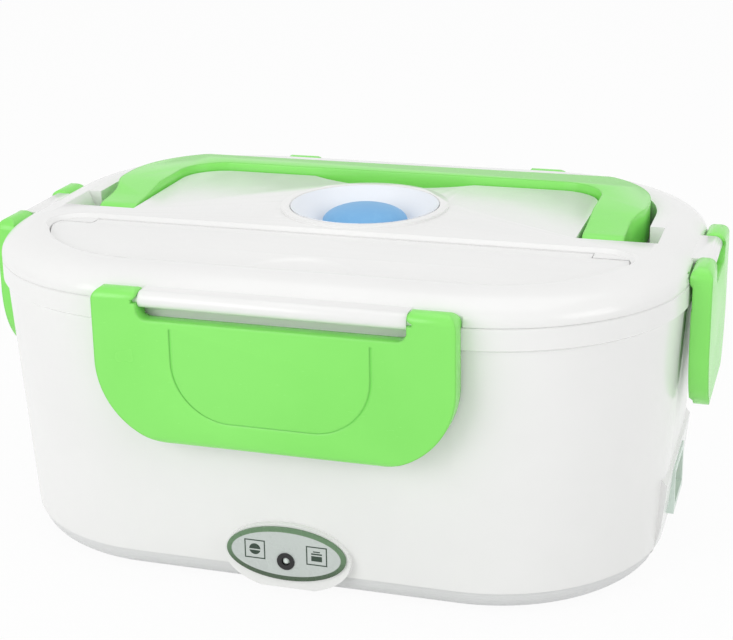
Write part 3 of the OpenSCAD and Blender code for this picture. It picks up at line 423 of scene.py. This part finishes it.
def rounded_copy(node, radius):
    """A new piece with node's surface, its edges rounded by radius (metres)."""
    bm = bmesh.new()
    bm.from_mesh(nodes[node].data)
    bmesh.ops.remove_doubles(bm, verts=bm.verts, dist=WELD)
    bmesh.ops.dissolve_limit(bm, angle_limit=FLAT, verts=bm.verts, edges=bm.edges)
    if node in RESHAPED:
        RESHAPED[node](bm)
    mesh = bpy.data.meshes.new(node + "_rounded")
    bm.to_mesh(mesh)
    bm.free()
    for face in mesh.polygons:
        face.use_smooth = True
    piece = bpy.data.objects.new(node + "_rounded", mesh)
    bpy.context.scene.collection.objects.link(piece)
    mesh.materials.append(FINISHES[slot_of[node]])
    bevel = piece.modifiers.new("round", "BEVEL")
    bevel.width, bevel.segments = radius, BEVEL_STEPS
    bevel.limit_method, bevel.angle_limit = "ANGLE", SHARP
    bevel.harden_normals = True
    bevel.use_clamp_overlap = True  # without it, spikes grow at the latches' corners
    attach(piece, body_of[node])
    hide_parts(node)
    return piece


ROUNDED = {
    "lid": 0.0007, "spoon_cover": 0.0004, "carry_handle": 0.0018,
    "latch_front": 0.0009, "latch_back": 0.0009, "latch_left": 0.0009,
    "latch_right": 0.0009, "vent_bowl": 0.0004, "vent_plug": 0.0004,
    "power_inlet": 0.0005, "indicator_plate": 0.00015, "led_ring": 0.0002,
    "led_lamp": 0.00005, "food_container": 0.0005, "side_dish": 0.0005,
    "inner_tub": 0.0004, "spoon": 0.0004, "lid_liner": 0.0004,
    "heater_plate": 0.0004,
}
for node, radius in ROUNDED.items():
    piece = rounded_copy(node, radius)
    print(piece.name, len(piece.data.polygons), "faces")

# %% [markdown]
# ## The pieces that keep their solids
#
# Screws, wires, seals and the heater are hidden or small. The outer body and its bottom
# cover show, but rounding the body's edges tears a slit beside the inlet. All of them
# keep their solids and only swap the plain colour for a finish.

# %% Finish the pieces left as solids
for name, held in nodes.items():
    if name not in ROUNDED:
        for holder in held.material_slots:
            holder.material = FINISHES[slot_of[name]]
print(len(nodes) - len(ROUNDED), "solids refinished")

# %% [markdown]
# ## Floor and light
#
# A product shot on white: a pale floor without an edge, a large soft lamp from the front
# left, a weaker one from the right and one above. What the camera sees of the floor is
# kept white by its own material, with the object's shadow still on it.

# %% Lay the floor
FLOOR_GLOW = 0.94
FLOOR_HALF = 6.0


def pale_floor():
    f = Finish("pale_floor")
    out = f.tree.nodes["Material Output"]
    grain = f.noise(30, 3.0) * 0.02 + 0.86
    f.paint(Base_Color=f.mix(grain, colour(215, 215, 215), colour(240, 240, 240)),
            Roughness=0.6)
    glow = f.node("ShaderNodeEmission", None, (1, 1, 1, 1), 1.0)
    mixed = f.node("ShaderNodeMixShader", None, f.seen() * FLOOR_GLOW,
                   Wire(f, f.shader.outputs[0]), glow)
    f.feed(out.inputs["Surface"], mixed)
    return f.material


def flat_sheet(name, half, z, material):
    bm = bmesh.new()
    bmesh.ops.create_grid(bm, x_segments=8, y_segments=8, size=half)
    for vert in bm.verts:
        vert.co.z = z
    mesh = bpy.data.meshes.new(name)
    bm.to_mesh(mesh)
    bm.free()
    mesh.materials.append(material)
    sheet = bpy.data.objects.new(name, mesh)
    bpy.context.scene.collection.objects.link(sheet)
    return sheet


floor = flat_sheet("pale_floor", FLOOR_HALF, cad_low.z, pale_floor())
print("floor at", round(floor.data.vertices[0].co.z, 4))

# %% Hang the lamps
AIM = Vector((0, 0, 0.05))
SOFTBOXES = {  # name: place and size in metres, power in watts
    "key_softbox": ((-0.5, -0.85, 0.45), 0.6, 3.15),
    "right_softbox": ((0.85, -0.35, 0.45), 0.5, 1.8),
    "top_softbox": ((0.0, 0.15, 1.0), 0.8, 1.7),
}
ROOM_LIGHT = 0.62

for name, (place, size, watts) in SOFTBOXES.items():
    data = bpy.data.lights.new(name, "AREA")
    data.shape, data.size, data.energy = "SQUARE", size, watts
    holder = bpy.data.objects.new(name, data)
    bpy.context.scene.collection.objects.link(holder)
    holder.location = place
    holder.rotation_mode = "QUATERNION"
    holder.rotation_quaternion = (AIM - Vector(place)).to_track_quat("-Z", "Y")

room = Finish("white_room", bpy.data.worlds, "Background")
room.paint(Color=(1, 1, 1, 1), Strength=room.seen() * (1 - ROOM_LIGHT) + ROOM_LIGHT)
bpy.context.scene.world = room.material
print("lamps and room ready")
